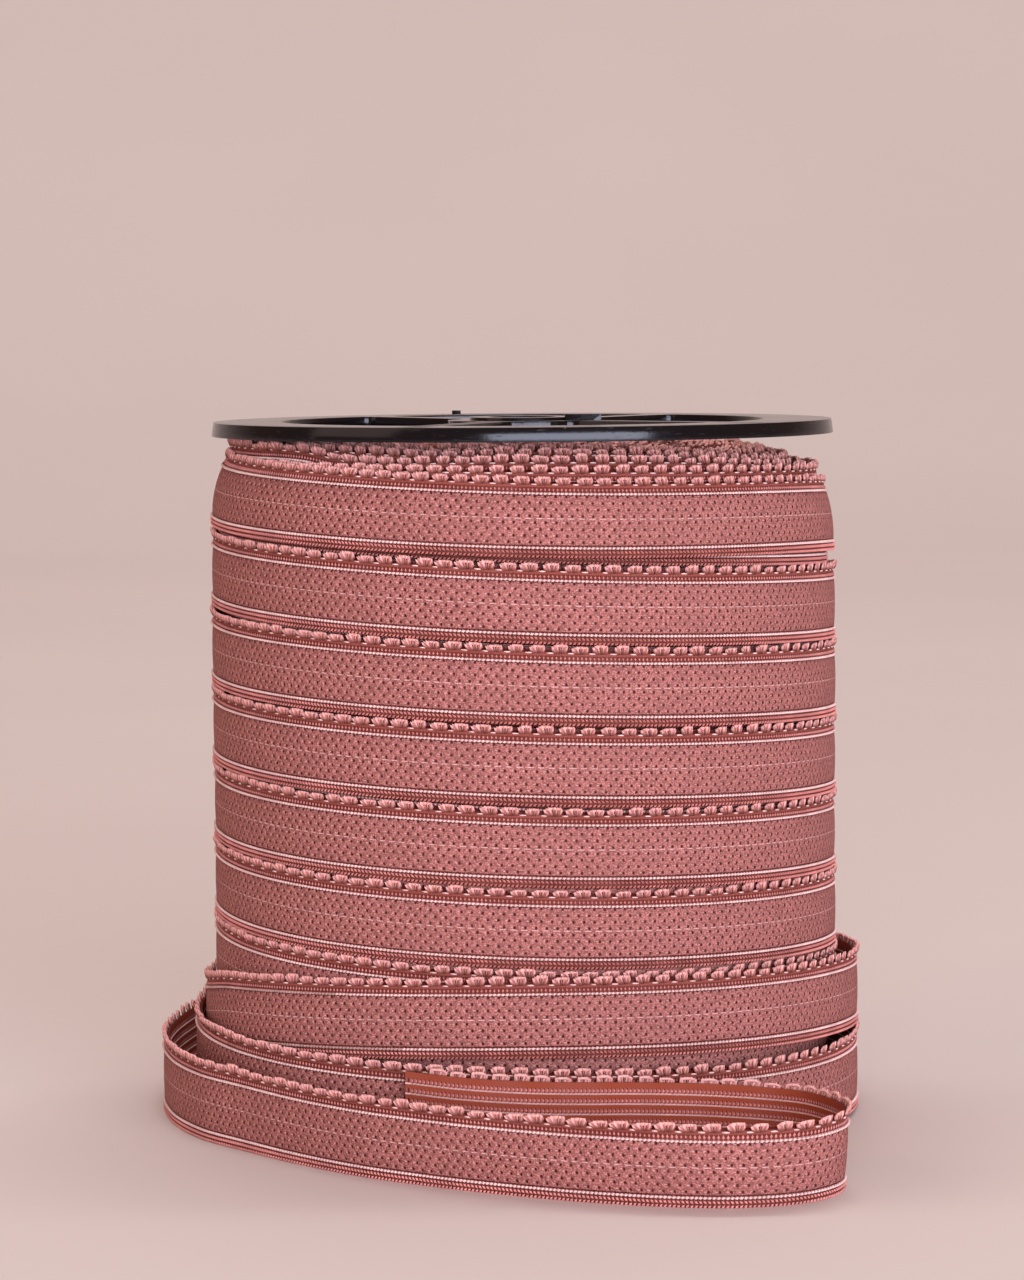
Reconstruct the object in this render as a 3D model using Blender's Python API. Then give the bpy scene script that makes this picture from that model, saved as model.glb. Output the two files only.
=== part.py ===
"""A roll of picot-edged elastic on a black plastic spool, with its slack end lying round the foot.

The spool stands upright on its lower flange. Lengths are in metres. Angles are in degrees,
anticlockwise from +X seen from above, and -Y is the front. Every piece hangs on one empty that
stands on the spool's axis, and that empty is moved so that the whole object is centred on the
origin with its lowest point at z = 0.
"""

import math

import bmesh
import bpy
from mathutils import Vector

GAP = 0.0003  # clear space between neighbouring pieces

# The spool: two flanges on a core tube.
SPOOL_HEIGHT = 0.1118
FLANGE_RADIUS = 0.0500
FLANGE_THICKNESS = 0.0022
RIM_DRAFT = 0.0003  # the rim narrows by this towards its outer face
RIM_CHAMFER = 0.0002
RIM_INNER_RADIUS = 0.0388
HUB_RADIUS = 0.0120
SPOKE_WIDTH = 0.0042
SPOKE_ANGLES = (-38, 54, 128, 248)
WINDOW_FILLET = 0.0025
BORE_RADIUS = 0.0055
COLLAR_RADIUS = 0.0085
COLLAR_HEIGHT = 0.0005
CORE_RADIUS = 0.0190
CORE_WALL = 0.0020
SEGMENTS = 72

# Two small raised stops moulded on the upper flange: centre x and y, size x and y, height.
KEY = {"x": 0.0097, "y": -0.0040, "size_x": 0.0058, "size_y": 0.0040, "height": 0.0010}
LUG = {"x": -0.0112, "y": 0.0462, "size_x": 0.0015, "size_y": 0.0020, "height": 0.0006}

# The tape. Stretched on the roll it is narrower than it is where it lies slack.
TAPE_THICKNESS = 0.0012
WOUND_WIDTH = 0.01205
SLACK_WIDTH = 0.0129
TAPE_CHAMFER = 0.0003

# The wound layer: a helix that starts at the back and goes down anticlockwise.
ROLL_RADIUS = 0.0503  # to the outer face of the tape
LAYER_RADIUS = 0.0491  # of the layer under it
START_ANGLE = 90
ROWS = 7
COLUMNS = 56
PICOT_HEIGHT = 0.0015
EDGE_HEIGHT = 0.0006  # the rounded lower edge

# Height of the tape's upper edge: turns from the start, height.
ROW_TOPS = (
    (-3.00, 0.1400),
    (-0.50, 0.1165),
    (0.00, 0.1110),
    (0.32, 0.1073),
    (0.50, 0.1047),
    (0.67, 0.1036),
    (0.75, 0.1026),
    (1.00, 0.0979),
    (1.25, 0.0946),
    (1.50, 0.0915),
    (2.50, 0.0792),
    (6.50, 0.0303),
    (9.00, -0.0003),
)

# The roll's shoulder under the upper flange, highest on the left: radius, height there,
# and how much lower it lies on the right.
SHOULDER = (
    (0.0480, 0.1067, 0.0018),
    (0.0468, 0.1067, 0.0018),
    (0.0463, 0.1090, 0.0032),
    (0.0445, 0.1092, 0.0030),
    (0.0418, 0.1093, 0.0022),
    (0.0345, 0.1093, 0.0000),
)

# The slack turns, from where the tape leaves the roll: angle, radius of the tape's middle,
# height of its lower edge.
SLACK_TURNS = (
    (97, 0.0509, 0.0114),
    (110, 0.0513, 0.0113),
    (135, 0.0514, 0.0110),
    (180, 0.0515, 0.0106),
    (207, 0.0514, 0.0138),
    (240, 0.0513, 0.0160),
    (270, 0.0512, 0.0169),
    (300, 0.0513, 0.0163),
    (331, 0.0519, 0.0151),
    (360, 0.0534, 0.0138),
    (405, 0.0539, 0.0118),
    (450, 0.0534, 0.0095),
    (500, 0.0532, 0.0071),
    (540, 0.0531, 0.0052),
    (567, 0.0531, 0.0043),
    (606, 0.0528, 0.0033),
    (630, 0.0517, 0.0027),
    (660, 0.0517, 0.0014),
    (691, 0.0524, 0.0003),
    (720, 0.0534, 0.0000),
    (765, 0.0556, 0.0000),
    (810, 0.0585, 0.0000),
    (845, 0.0615, 0.0000),
    (872, 0.0628, 0.0000),
)

# The loose end on the table, from the left, round the front and back on itself:
# x, y, height of the lower edge, and how far the upper edge leans outwards.
LOOSE_END = (
    (-0.0589, 0.0060, 0.0000, 0.0000),
    (-0.0566, -0.0120, 0.0000, 0.0000),
    (-0.0509, -0.0260, 0.0000, 0.0002),
    (-0.0438, -0.0352, 0.0000, 0.0005),
    (-0.0341, -0.0464, 0.0000, 0.0012),
    (-0.0247, -0.0552, 0.0000, 0.0016),
    (-0.0156, -0.0616, 0.0000, 0.0019),
    (-0.0068, -0.0668, 0.0000, 0.0022),
    (0.0045, -0.0724, 0.0000, 0.0022),
    (0.0132, -0.0757, 0.0000, 0.0022),
    (0.0218, -0.0780, 0.0000, 0.0023),
    (0.0304, -0.0786, 0.0000, 0.0024),
    (0.0386, -0.0764, 0.0000, 0.0024),
    (0.0442, -0.0712, 0.0000, 0.0016),
    (0.0461, -0.0650, 0.0000, 0.0006),
    (0.0447, -0.0588, 0.0000, 0.0000),
    (0.0414, -0.0537, 0.0000, 0.0000),
    (0.0368, -0.0508, 0.0000, 0.0000),
    (0.0315, -0.0496, 0.0002, 0.0000),
    (0.0250, -0.0493, 0.0005, 0.0000),
    (0.0165, -0.0508, 0.0010, 0.0000),
    (0.0085, -0.0527, 0.0014, 0.0000),
    (0.0000, -0.0539, 0.0018, 0.0000),
    (-0.0095, -0.0537, 0.0024, 0.0000),
    (-0.0189, -0.0513, 0.0031, 0.0000),
)
TURN_STEP = 15  # degrees between the route's points on the slack turns
TURNS_STEP = 0.0062  # along the tape between its cross-sections on the slack turns
END_STEP = 0.0036  # and on the loose end, which bends more tightly


def remove_everything():
    for obj in list(bpy.data.objects):
        bpy.data.objects.remove(obj)


def smooth_row(rows, at):
    """The rows' other columns where the first one has this value, on a smooth curve through them."""
    last = len(rows) - 1
    i = next((k for k in range(last) if at <= rows[k + 1][0]), last - 1)
    before, low, high, after = rows[max(i - 1, 0)], rows[i], rows[i + 1], rows[min(i + 2, last)]
    span = high[0] - low[0]
    t = (at - low[0]) / span
    found = []
    for b, p, q, a in zip(before[1:], low[1:], high[1:], after[1:]):
        start = (q - b) / (high[0] - before[0]) * span
        end = (a - p) / (after[0] - low[0]) * span
        rise = t * t * (3 - 2 * t)
        found.append(p + (q - p) * rise + start * t * (1 - t) ** 2 - end * t * t * (1 - t))
    return found


def at_angle(radius, degrees, height=0.0):
    turn = math.radians(degrees)
    return Vector((radius * math.cos(turn), radius * math.sin(turn), height))


def plastic(name):
    material = bpy.data.materials.new(name)
    material.use_nodes = True
    shader = material.node_tree.nodes["Principled BSDF"]
    shader.inputs["Base Color"].default_value = (0.010, 0.009, 0.012, 1.0)
    shader.inputs["Roughness"].default_value = 0.35
    return material


def elastic(name):
    material = bpy.data.materials.new(name)
    material.use_nodes = True
    shader = material.node_tree.nodes["Principled BSDF"]
    shader.inputs["Base Color"].default_value = (0.45, 0.17, 0.15, 1.0)
    shader.inputs["Roughness"].default_value = 0.75
    return material


def new_object(name, bm, material, parent):
    """Makes the object, shaded smooth across the edges that aren't creases."""
    bmesh.ops.recalc_face_normals(bm, faces=bm.faces)
    mesh = bpy.data.meshes.new(name)
    bm.to_mesh(mesh)
    bm.free()
    mesh.shade_smooth()
    mesh.set_sharp_from_angle(angle=math.radians(35))
    mesh.materials.append(material)
    obj = bpy.data.objects.new(name, mesh)
    obj.parent = parent
    bpy.context.scene.collection.objects.link(obj)
    return obj


def turned(profile):
    """A ring turned round the Z axis from a closed profile of (radius, height)."""
    bm = bmesh.new()
    verts = [bm.verts.new((radius, 0.0, height)) for radius, height in profile]
    edges = [bm.edges.new((a, b)) for a, b in zip(verts, verts[1:] + verts[:1])]
    bmesh.ops.spin(
        bm, geom=verts + edges, axis=(0, 0, 1), cent=(0, 0, 0), angle=math.tau,
        steps=SEGMENTS, use_merge=True,
    )
    return bm


def window_outline(start, end):
    """The corners and the whole outline of the window between two spokes."""

    def arc(radius, step):
        inset = math.degrees(math.asin(SPOKE_WIDTH / 2 / radius))
        low, high = start + inset, end - inset
        count = max(2, round((high - low) / step))
        return [at_angle(radius, low + (high - low) * i / count) for i in range(count + 1)]

    outer, inner = arc(RIM_INNER_RADIUS, 6), arc(HUB_RADIUS, 18)
    return outer + inner[::-1], (outer[0], outer[-1], inner[0], inner[-1])


def cut_windows(flange, parent):
    """Cuts the four windows between the spokes through the flange."""
    bm = bmesh.new()
    ends = SPOKE_ANGLES[1:] + (SPOKE_ANGLES[0] + 360,)
    for start, end in zip(SPOKE_ANGLES, ends):
        outline, corners = window_outline(start, end)
        verts = [bm.verts.new(point) for point in outline]
        bm.faces.new(verts)
        bmesh.ops.bevel(
            bm, geom=[v for v in verts if v.co in corners], offset=WINDOW_FILLET,
            offset_type="OFFSET", segments=4, profile=0.5, affect="VERTICES", material=-1,
        )
    lift = Vector((0, 0, SPOOL_HEIGHT - 2 * FLANGE_THICKNESS))
    bmesh.ops.translate(bm, verts=bm.verts, vec=lift)
    walls = bmesh.ops.extrude_face_region(bm, geom=bm.faces[:])["geom"]
    top = [item for item in walls if isinstance(item, bmesh.types.BMVert)]
    bmesh.ops.translate(bm, verts=top, vec=(0, 0, 3 * FLANGE_THICKNESS))
    cutter = new_object("window_cutter", bm, flange.data.materials[0], parent)
    use_tool(flange, cutter, "DIFFERENCE")


def use_tool(obj, tool, operation):
    """Applies another object to this one, and keeps it out of sight."""
    tool.hide_render = True
    tool.display_type = "WIRE"
    modifier = obj.modifiers.new(tool.name, "BOOLEAN")
    modifier.operation = operation
    modifier.solver = "EXACT"
    modifier.object = tool


def add_block(flange, name, sizes, parent):
    """Joins a small raised block to the top of the flange."""
    bm = bmesh.new()
    depth = FLANGE_THICKNESS / 2
    top = SPOOL_HEIGHT + sizes["height"]
    bmesh.ops.create_cube(bm, size=1.0)
    size = (sizes["size_x"], sizes["size_y"], sizes["height"] + depth)
    bmesh.ops.scale(bm, verts=bm.verts, vec=size)
    place = (sizes["x"], sizes["y"], top - size[2] / 2)
    bmesh.ops.translate(bm, verts=bm.verts, vec=place)
    block = new_object(name, bm, flange.data.materials[0], parent)
    use_tool(flange, block, "UNION")


def build_upper_flange(material, parent):
    low, high = SPOOL_HEIGHT - FLANGE_THICKNESS, SPOOL_HEIGHT
    rim = FLANGE_RADIUS - RIM_DRAFT
    profile = (
        (BORE_RADIUS, low),
        (FLANGE_RADIUS - RIM_CHAMFER, low),
        (FLANGE_RADIUS, low + RIM_CHAMFER),
        (rim, high - RIM_CHAMFER),
        (rim - RIM_CHAMFER, high),
        (COLLAR_RADIUS, high),
        (COLLAR_RADIUS, high + COLLAR_HEIGHT),
        (BORE_RADIUS, high + COLLAR_HEIGHT),
    )
    flange = new_object("flange_upper", turned(profile), material, parent)
    cut_windows(flange, parent)
    add_block(flange, "key_block", KEY, parent)
    add_block(flange, "lug_block", LUG, parent)


def build_lower_flange(material, parent):
    rim = FLANGE_RADIUS - RIM_DRAFT
    profile = (
        (BORE_RADIUS, 0.0),
        (rim - RIM_CHAMFER, 0.0),
        (rim, RIM_CHAMFER),
        (FLANGE_RADIUS, FLANGE_THICKNESS - RIM_CHAMFER),
        (FLANGE_RADIUS - RIM_CHAMFER, FLANGE_THICKNESS),
        (BORE_RADIUS, FLANGE_THICKNESS),
    )
    new_object("flange_lower", turned(profile), material, parent)


def build_core(material, parent):
    low = FLANGE_THICKNESS + GAP
    high = SPOOL_HEIGHT - FLANGE_THICKNESS - GAP
    inner = CORE_RADIUS - CORE_WALL
    profile = ((inner, low), (CORE_RADIUS, low), (CORE_RADIUS, high), (inner, high))
    new_object("core_tube", turned(profile), material, parent)


def row_points(row, part, low, high, layer_top):
    """The four points, going up, of one row of tape on the profile at this part of a turn."""
    top = smooth_row(ROW_TOPS, row + part)[0]
    bottom = top - WOUND_WIDTH
    heights = (bottom, bottom + EDGE_HEIGHT, top - PICOT_HEIGHT, top)
    if row < 0:
        return [(SHOULDER[0][0], min(height, layer_top)) for height in heights]
    if row >= ROWS:
        return [(LAYER_RADIUS, max(height, low)) for height in heights]
    radii = (LAYER_RADIUS, ROLL_RADIUS, ROLL_RADIUS, LAYER_RADIUS)
    return [(radius, min(max(height, low), high)) for radius, height in zip(radii, heights)]


def roll_profile(part):
    """The closed profile of the roll at this part of a turn: its row points and its inner ones."""
    low = FLANGE_THICKNESS + GAP
    high = SPOOL_HEIGHT - FLANGE_THICKNESS - GAP
    fall = (1 + math.cos(math.radians(START_ANGLE + 360 * part))) / 2
    shoulder = [(radius, top - drop * fall) for radius, top, drop in SHOULDER]
    rows = []
    for row in range(ROWS + 1, -3, -1):
        rows += row_points(row, part, low, high, shoulder[0][1])
    inner = [(CORE_RADIUS + GAP, shoulder[-1][1]), (CORE_RADIUS + GAP, low)]
    return rows, shoulder[1:] + inner


def build_roll(material, parent):
    """The wound elastic: one solid whose outer layer steps down from row to row."""
    bm = bmesh.new()
    columns = []
    for column in range(COLUMNS):
        part = column / COLUMNS
        rows, rest = roll_profile(part)
        angle = START_ANGLE + 360 * part
        columns.append(
            [[bm.verts.new(at_angle(r, angle, z)) for r, z in points] for points in (rows, rest)]
        )
    for (rows, rest), (next_rows, next_rest) in zip(columns, columns[1:] + columns[:1]):
        if next_rows is columns[0][0]:
            # After a whole turn each row continues as the one below it.
            next_rows = next_rows[:1] * 4 + next_rows[:-4]
        here, there = rows + rest, next_rows + next_rest
        for a, b, c, d in zip(here, there, there[1:] + there[:1], here[1:] + here[:1]):
            corners = list(dict.fromkeys((a, b, c, d)))
            if len(corners) > 2:
                bm.faces.new(corners)
    bmesh.ops.remove_doubles(bm, verts=bm.verts, dist=0.000001)
    bmesh.ops.dissolve_degenerate(bm, edges=bm.edges, dist=0.000001)
    new_object("wound_elastic", bm, material, parent)


def tape_route():
    """Points of the slack tape's lower edge: distance along it, x, y, height and lean."""
    points = []
    steps = round((SLACK_TURNS[-1][0] - SLACK_TURNS[0][0]) / TURN_STEP)
    for step in range(steps + 1):
        angle = SLACK_TURNS[0][0] + (SLACK_TURNS[-1][0] - SLACK_TURNS[0][0]) * step / steps
        radius, height = smooth_row(SLACK_TURNS, angle)
        place = at_angle(radius, angle)
        points.append((place.x, place.y, height, 0.0))
    points += LOOSE_END
    route = [(0.0, *points[0])]
    for point in points[1:]:
        along = math.dist(point[:2], route[-1][1:3])
        route.append((route[-1][0] + along, *point))
    return route


def tape_section(route, at):
    """The eight corners of the tape's cross-section this far along its route."""
    x, y, height, lean = smooth_row(route, at)
    ahead = smooth_row(route, min(at + 0.0005, route[-1][0]))
    behind = smooth_row(route, max(at - 0.0005, 0.0))
    along = Vector((ahead[0] - behind[0], ahead[1] - behind[1], 0)).normalized()
    outward = Vector((along.y, -along.x, 0))
    slack = min(1.0, at / (route[-1][0] / 2))
    width = WOUND_WIDTH + (SLACK_WIDTH - WOUND_WIDTH) * slack
    rise = math.sqrt(width ** 2 - lean ** 2)
    up = (outward * lean + Vector((0, 0, rise))).normalized()
    across = along.cross(up)
    half, c = TAPE_THICKNESS / 2, TAPE_CHAMFER
    outline = (
        (-half, c), (-half + c, 0), (half - c, 0), (half, c),
        (half, width - c), (half - c, width), (-half + c, width), (-half, width - c),
    )
    foot = Vector((x, y, height))
    return [foot + across * side + up * rising for side, rising in outline]


def even_steps(start, end, step):
    """Distances from start to end, both included, about this far apart."""
    count = round((end - start) / step)
    return [start + (end - start) * i / count for i in range(count + 1)]


def build_loose_tape(material, parent):
    """The tape that has come off the roll, from the roll's last row to its cut end."""
    route = tape_route()
    length, end_start = route[-1][0], route[-len(LOOSE_END)][0]
    bm = bmesh.new()
    rings = []
    on_turns = even_steps(0.0, end_start, TURNS_STEP)[:-1]
    for at in on_turns + even_steps(end_start, length, END_STEP):
        ring = [bm.verts.new(corner) for corner in tape_section(route, at)]
        for vert in ring:
            vert.co.z = max(vert.co.z, 0.0)
        rings.append(ring)
    for ring, following in zip(rings, rings[1:]):
        for i, vert in enumerate(ring):
            j = (i + 1) % len(ring)
            bm.faces.new((vert, following[i], following[j], ring[j]))
    bm.faces.new(rings[0])
    bm.faces.new(rings[-1][::-1])
    new_object("loose_elastic", bm, material, parent)


def centre_on_origin(parent):
    """Moves the empty so that the object's box is centred on the origin and stands on z = 0."""
    bpy.context.view_layer.update()
    corners = [
        obj.matrix_world @ Vector(corner)
        for obj in parent.children if not obj.hide_render
        for corner in obj.bound_box
    ]
    low = [min(corner[axis] for corner in corners) for axis in range(3)]
    high = [max(corner[axis] for corner in corners) for axis in range(3)]
    parent.location = (-(low[0] + high[0]) / 2, -(low[1] + high[1]) / 2, -low[2])
    bpy.context.view_layer.update()


def main():
    remove_everything()
    axis = bpy.data.objects.new("spool_axis", None)
    bpy.context.scene.collection.objects.link(axis)
    black = plastic("black_plastic")
    rose = elastic("rose_elastic")
    build_lower_flange(black, axis)
    build_core(black, axis)
    build_upper_flange(black, axis)
    build_roll(rose, axis)
    build_loose_tape(rose, axis)
    centre_on_origin(axis)


main()
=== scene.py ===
"""A roll of picot-edged elastic on a black plastic spool, with its slack end lying round the foot.

Lengths are in metres and angles in degrees, anticlockwise from +X seen from above. The front is
-Y. The pieces are worked out round the spool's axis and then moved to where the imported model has
that axis.
"""

import math

import bmesh
import bpy
import numpy as np
from mathutils import Matrix, Vector


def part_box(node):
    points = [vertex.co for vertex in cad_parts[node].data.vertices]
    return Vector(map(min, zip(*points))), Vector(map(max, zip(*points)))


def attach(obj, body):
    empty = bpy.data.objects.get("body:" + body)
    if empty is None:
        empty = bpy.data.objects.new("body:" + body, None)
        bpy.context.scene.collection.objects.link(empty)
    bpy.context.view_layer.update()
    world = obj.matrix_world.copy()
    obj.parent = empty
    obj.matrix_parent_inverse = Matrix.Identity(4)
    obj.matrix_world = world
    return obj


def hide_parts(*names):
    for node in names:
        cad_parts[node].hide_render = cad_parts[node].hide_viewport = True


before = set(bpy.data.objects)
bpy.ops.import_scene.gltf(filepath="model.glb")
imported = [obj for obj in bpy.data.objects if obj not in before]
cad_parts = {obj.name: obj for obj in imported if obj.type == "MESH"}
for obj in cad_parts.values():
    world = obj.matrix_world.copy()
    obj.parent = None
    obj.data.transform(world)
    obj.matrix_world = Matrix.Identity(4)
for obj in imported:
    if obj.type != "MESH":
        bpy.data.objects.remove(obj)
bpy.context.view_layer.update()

bl_info = {
    "name": "Elastic Roll",
    "version": (1, 0, 0),
    "blender": (4, 5, 0),
    "location": "3D View > Sidebar > Elastic Roll",
    "description": "Adds a spool of picot-edged elastic and a plain stage for it",
    "category": "Add Mesh",
}

LOWER_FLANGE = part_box("flange_lower")
AXIS = Vector((*((LOWER_FLANGE[0] + LOWER_FLANGE[1]) / 2).xy, 0.0))
FLANGE_RADIUS = (LOWER_FLANGE[1].x - LOWER_FLANGE[0].x) / 2
FLANGE_THICKNESS = LOWER_FLANGE[1].z - LOWER_FLANGE[0].z
FLANGE_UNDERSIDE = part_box("flange_upper")[0].z
SPOOL_HEIGHT = FLANGE_UNDERSIDE + FLANGE_THICKNESS

# The upper flange.
RIM_DRAFT = 0.0003
RIM_CHAMFER = 0.0002
RIM_INNER_RADIUS = 0.0388
HUB_RADIUS = 0.0120
SPOKE_WIDTH = 0.0042
SPOKE_ANGLES = (-38, 54, 128, 248)
WINDOW_FILLET = 0.0025
BORE_RADIUS = 0.0055
COLLAR_RADIUS = 0.0085
COLLAR_HEIGHT = 0.0005
KEY = {"x": 0.0097, "y": -0.0040, "size_x": 0.0058, "size_y": 0.0040, "height": 0.0010}
LUG = {"x": -0.0112, "y": 0.0462, "size_x": 0.0015, "size_y": 0.0020, "height": 0.0006}
ROUND_STEPS = 180

# The tape.
WOUND_WIDTH = 0.01205
SLACK_WIDTH = 0.0129
START_ANGLE = 90
ROUTE_STEP = 0.0008  # between the points that a route is read from
STITCHES = 5  # to each picot
TURNS_RADIUS = 0.05  # for spacing the points of the outer turns
UNEVEN_HEIGHT = 0.00012  # how much the outer turns wander
UNEVEN_RADIUS = 0.00006

# The layers under the outer turns: most turns, the drop from row to row, how far the whole layer
# has sunk by the foot, how far the first turn's upper edge curls in, and radius and height of the
# upper edge for each layer.
UNDER_TURNS = 8.2
ROW_DROP = 0.01224
UNDER_SINK = 0.006
UNDER_CURL = 0.0022
UNDER_LAYER = (0.0485, 0.1037)
DEEP_LAYER = (0.0470, 0.0976)
UNDER_STITCHED = 0.45  # length that carries stitches, where the layer shows

BACK_STITCHED = 0.26  # length of the loose end that shows its back

# The outer turns: turns from the back, height of the tape's upper edge, radius of its middle, and
# how far the upper edge curls in.
OUTER_TURNS = (
    (-1.10, 0.1040, 0.0466, 0.0000),
    (-0.95, 0.1063, 0.0472, 0.0004),
    (-0.75, 0.1067, 0.0474, 0.0006),
    (-0.50, 0.1062, 0.0474, 0.0006),
    (-0.25, 0.1050, 0.0474, 0.0006),
    (-0.05, 0.1058, 0.0490, 0.0014),
    (0.08, 0.1076, 0.0497, 0.0026),
    (0.22, 0.1079, 0.0497, 0.0031),
    (0.32, 0.1069, 0.0497, 0.0028),
    (0.50, 0.1047, 0.0497, 0.0019),
    (0.67, 0.1036, 0.0497, 0.0018),
    (0.75, 0.1026, 0.0497, 0.0019),
    (1.00, 0.0979, 0.0497, 0.0010),
    (1.25, 0.0951, 0.0497, 0.0002),
    (1.50, 0.0918, 0.0497, 0.0000),
    (2.50, 0.0795, 0.0497, 0.0000),
    (6.50, 0.0303, 0.0497, 0.0000),
    (7.20, 0.0217, 0.0497, 0.0000),
)
TURNS_WOUND = 7.0
JOIN = (6.88, 7.10)  # turns between which the tape leaves the roll

# The slack turns: angle, radius of the tape's middle, height of its lower edge.
SLACK_TURNS = (
    (97, 0.0509, 0.0114),
    (110, 0.0513, 0.0113),
    (135, 0.0514, 0.0110),
    (180, 0.0515, 0.0106),
    (207, 0.0514, 0.0138),
    (240, 0.0513, 0.0160),
    (270, 0.0512, 0.0169),
    (300, 0.0513, 0.0163),
    (331, 0.0519, 0.0151),
    (360, 0.0534, 0.0138),
    (405, 0.0539, 0.0118),
    (450, 0.0534, 0.0095),
    (500, 0.0532, 0.0071),
    (540, 0.0531, 0.0052),
    (567, 0.0531, 0.0043),
    (606, 0.0528, 0.0033),
    (630, 0.0517, 0.0027),
    (660, 0.0517, 0.0016),
    (691, 0.0524, 0.0009),
    (720, 0.0534, 0.0005),
    (740, 0.0543, 0.0001),
    (765, 0.0556, 0.0000),
    (810, 0.0585, 0.0000),
    (845, 0.0615, 0.0000),
    (872, 0.0628, 0.0000),
)

# The loose end on the table, from the left, round the front and back on itself:
# x, y, height of the lower edge, and how far the upper edge leans outwards.
LOOSE_END = (
    (-0.0589, 0.0060, 0.0000, 0.0000),
    (-0.0566, -0.0120, 0.0000, 0.0000),
    (-0.0509, -0.0260, 0.0000, 0.0002),
    (-0.0438, -0.0352, 0.0000, 0.0005),
    (-0.0341, -0.0464, 0.0000, 0.0012),
    (-0.0247, -0.0552, 0.0000, 0.0016),
    (-0.0156, -0.0616, 0.0000, 0.0019),
    (-0.0068, -0.0668, 0.0000, 0.0022),
    (0.0045, -0.0724, 0.0000, 0.0022),
    (0.0132, -0.0757, 0.0000, 0.0022),
    (0.0218, -0.0780, 0.0000, 0.0023),
    (0.0304, -0.0786, 0.0000, 0.0024),
    (0.0386, -0.0764, 0.0000, 0.0024),
    (0.0442, -0.0712, 0.0000, 0.0016),
    (0.0461, -0.0650, 0.0000, 0.0006),
    (0.0447, -0.0588, 0.0000, 0.0000),
    (0.0414, -0.0537, 0.0000, 0.0000),
    (0.0368, -0.0508, 0.0000, 0.0000),
    (0.0315, -0.0496, 0.0002, 0.0000),
    (0.0250, -0.0493, 0.0005, 0.0000),
    (0.0165, -0.0508, 0.0010, 0.0000),
    (0.0085, -0.0527, 0.0014, 0.0000),
    (0.0000, -0.0539, 0.0018, 0.0000),
    (-0.0095, -0.0537, 0.0024, 0.0000),
    (-0.0189, -0.0513, 0.0031, 0.0000),
)

# Inner turns at the shoulder, which lean in under the upper flange: the radius of the lower edge,
# then angle, radius and height of the upper edge.
SHOULDER = (
    (0.0465, (
        (0, 0.0446, 0.1048),
        (90, 0.0450, 0.1072),
        (150, 0.0460, 0.1088),
        (180, 0.0465, 0.1093),
        (205, 0.0462, 0.1093),
        (222, 0.0452, 0.1090),
        (236, 0.0442, 0.1074),
        (255, 0.0438, 0.1074),
        (270, 0.0438, 0.1075),
        (300, 0.0437, 0.1071),
        (330, 0.0440, 0.1060),
        (360, 0.0446, 0.1048),
    )),
    (0.0457, (
        (0, 0.0420, 0.1062),
        (90, 0.0425, 0.1080),
        (185, 0.0440, 0.1093),
        (222, 0.0430, 0.1092),
        (247, 0.0416, 0.1083),
        (265, 0.0416, 0.1084),
        (290, 0.0414, 0.1082),
        (310, 0.0408, 0.1074),
        (330, 0.0410, 0.1066),
        (360, 0.0420, 0.1062),
    )),
    (0.0449, (
        (0, 0.0398, 0.1064),
        (90, 0.0405, 0.1080),
        (185, 0.0419, 0.1093),
        (225, 0.0409, 0.1092),
        (252, 0.0398, 0.1083),
        (264, 0.0400, 0.1089),
        (288, 0.0398, 0.1087),
        (302, 0.0392, 0.1074),
        (325, 0.0394, 0.1064),
        (360, 0.0398, 0.1064),
    )),
    (0.0440, (
        (0, 0.0382, 0.1072),
        (90, 0.0386, 0.1084),
        (185, 0.0396, 0.1093),
        (225, 0.0392, 0.1093),
        (252, 0.0382, 0.1088),
        (264, 0.0385, 0.1093),
        (288, 0.0383, 0.1091),
        (300, 0.0378, 0.1083),
        (322, 0.0380, 0.1074),
        (360, 0.0382, 0.1072),
    )),
)
CORE_TURNS = (0.0202, 0.0375, 14)  # first and last radius and number of the turns inside those
CORE_TOP = 0.1089
CORE_DIP = 0.0013  # how much lower the last of them lies

# The tape's face, going up: share of the width, how far it stands out.
TAPE_FACE = (
    (-0.014, 0.00000),
    (-0.006, 0.00030),
    (0.014, 0.00046),
    (0.040, 0.00050),
    (0.068, 0.00046),
    (0.090, 0.00032),
    (0.096, 0.00026),
    (0.130, 0.00030),
    (0.142, 0.00043),
    (0.240, 0.00051),
    (0.350, 0.00055),
    (0.450, 0.00056),
    (0.550, 0.00055),
    (0.650, 0.00051),
    (0.750, 0.00043),
    (0.764, 0.00031),
    (0.798, 0.00027),
    (0.808, 0.00016),
    (0.856, 0.00016),
    (0.864, 0.00030),
    (0.884, 0.00034),
    (0.899, 0.00026),
    # The last two rows here and the first row of TAPE_BACK make a thin fin behind the picots, a
    # dark sheet whose front carries painted shade between them.
    (0.908, -0.00012),
    (0.932, -0.00018),
)
EDGE_DROP = -TAPE_FACE[0][0] * WOUND_WIDTH
# Its back, going down.
TAPE_BACK = (
    # The top of the fin behind the picots.
    (0.932, -0.00036),
    (0.900, -0.00038),
    (0.860, -0.00042),
    (0.500, -0.00046),
    (0.100, -0.00042),
    (0.006, -0.00028),
)
# The outline of the turns that hardly show.
PLAIN_OUTLINE = (
    (0.05, 0.0),
    (0.06, 0.0005),
    (0.86, 0.0005),
    (0.905, 0.0002),
    (0.905, -0.0002),
    (0.86, -0.0005),
    (0.06, -0.0005),
)


# ---------------------------------------------------------------------------------------------
# Routes
# ---------------------------------------------------------------------------------------------


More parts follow.
